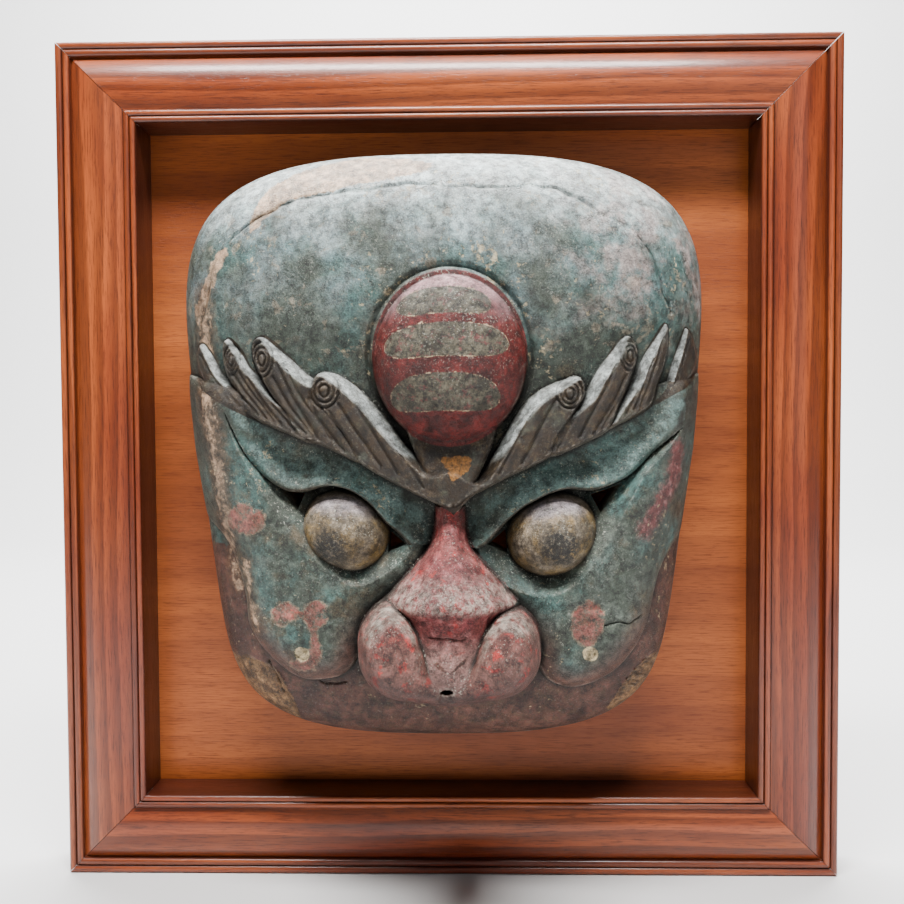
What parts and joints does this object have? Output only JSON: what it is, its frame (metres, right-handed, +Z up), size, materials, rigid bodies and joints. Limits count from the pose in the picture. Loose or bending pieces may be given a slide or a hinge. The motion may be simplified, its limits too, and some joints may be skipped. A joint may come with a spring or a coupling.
{
  "type": "ritual mask",
  "caption": "Carved and painted beast mask, upper half only, fixed on a wooden board in a deep moulded frame and made to hang on a wall.",
  "frame": {"origin": "middle of the flat back of the board, which lies against the wall", "axes": "+Y points into the wall, so the mask faces -Y; +Z is up; +X is to the viewer's right"},
  "size_m": [0.6404, 0.192, 0.6888],
  "materials": {
    "mask_paint": "old matt paint, rubbed and flaking, over carved wood",
    "board_wood": "orange brown stain under a satin varnish",
    "frame_varnish": "red brown gloss varnish with the grain showing"
  },
  "bodies": {
    "root": {"mask": "mask_paint", "back_board": "board_wood", "rail_top": "frame_varnish", "rail_bottom": "frame_varnish", "rail_left": "frame_varnish", "rail_right": "frame_varnish"}
  },
  "joints": []
}
